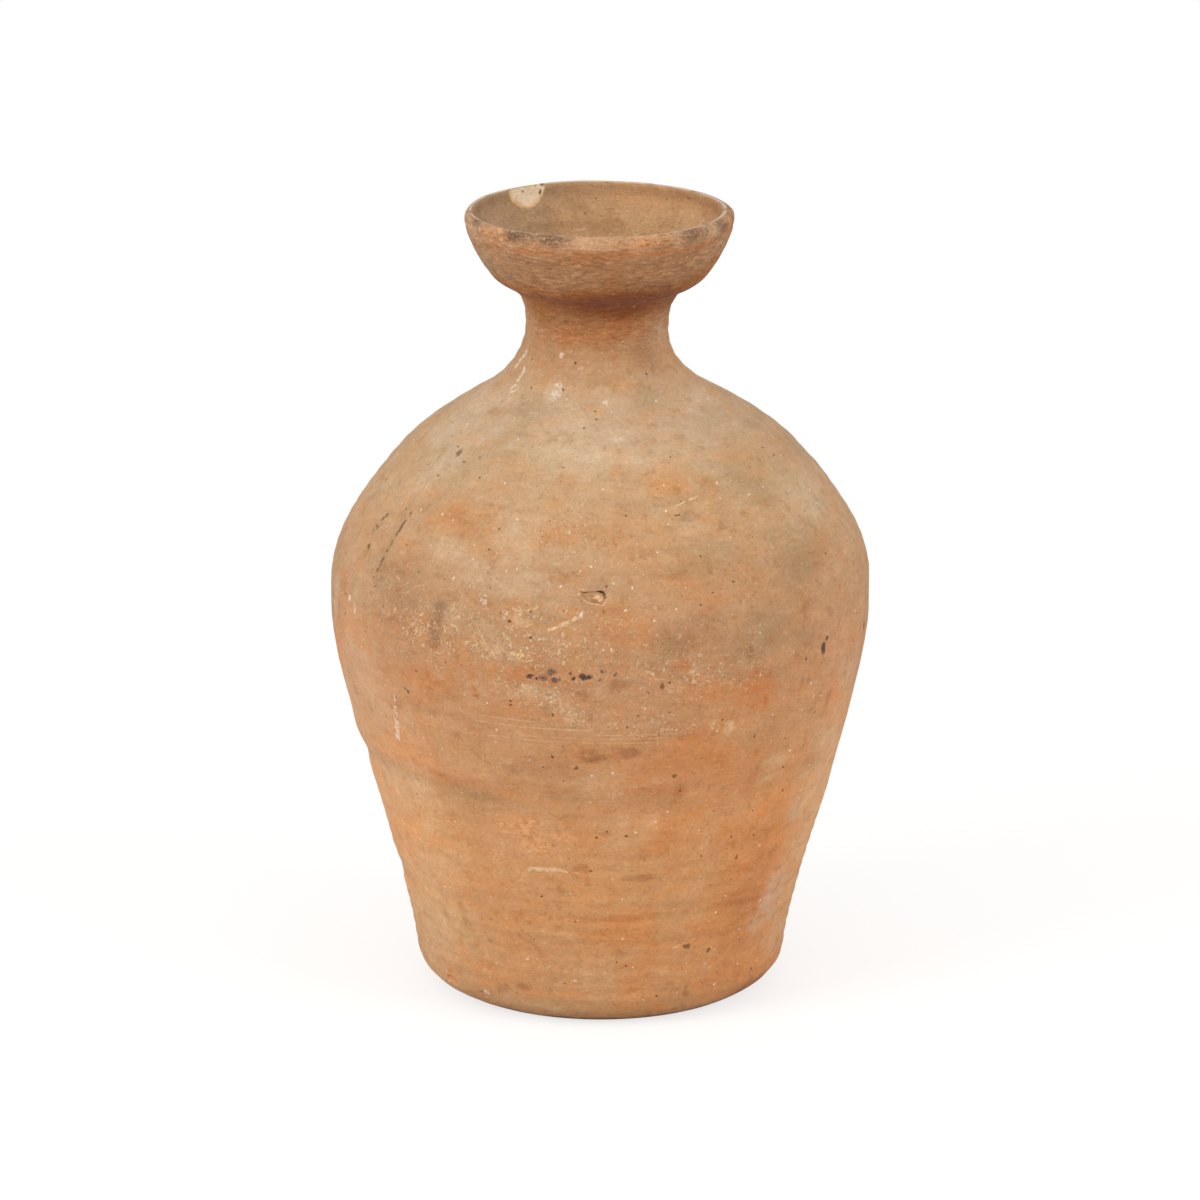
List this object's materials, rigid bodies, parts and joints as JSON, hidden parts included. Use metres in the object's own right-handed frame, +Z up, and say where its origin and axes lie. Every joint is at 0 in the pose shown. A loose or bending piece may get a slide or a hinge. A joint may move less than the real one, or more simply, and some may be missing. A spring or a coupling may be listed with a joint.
{
  "type": "wine jug",
  "caption": "Unglazed terracotta storage jug: tapering foot, full high belly, narrow neck and a wide dished mouth with a rolled lip, all open to the inside.",
  "frame": {"origin": "centre of the flat foot, on the surface the jug stands on", "axes": "+Z up the vessel's axis to the mouth, -Y to the front as pictured, +X to the right"},
  "size_m": [0.2708, 0.2708, 0.4],
  "materials": {
    "terracotta": "unglazed low-fired clay, matt and slightly dusty, with brown, olive and pale patches, specks and scuffs"
  },
  "bodies": {
    "root": {"base_slab": "terracotta", "lower_wall": "terracotta", "middle_wall": "terracotta", "belly_wall": "terracotta", "shoulder_wall": "terracotta", "shoulder_cap": "terracotta", "neck": "terracotta", "mouth_dish": "terracotta", "lip_coil": "terracotta"}
  },
  "joints": []
}
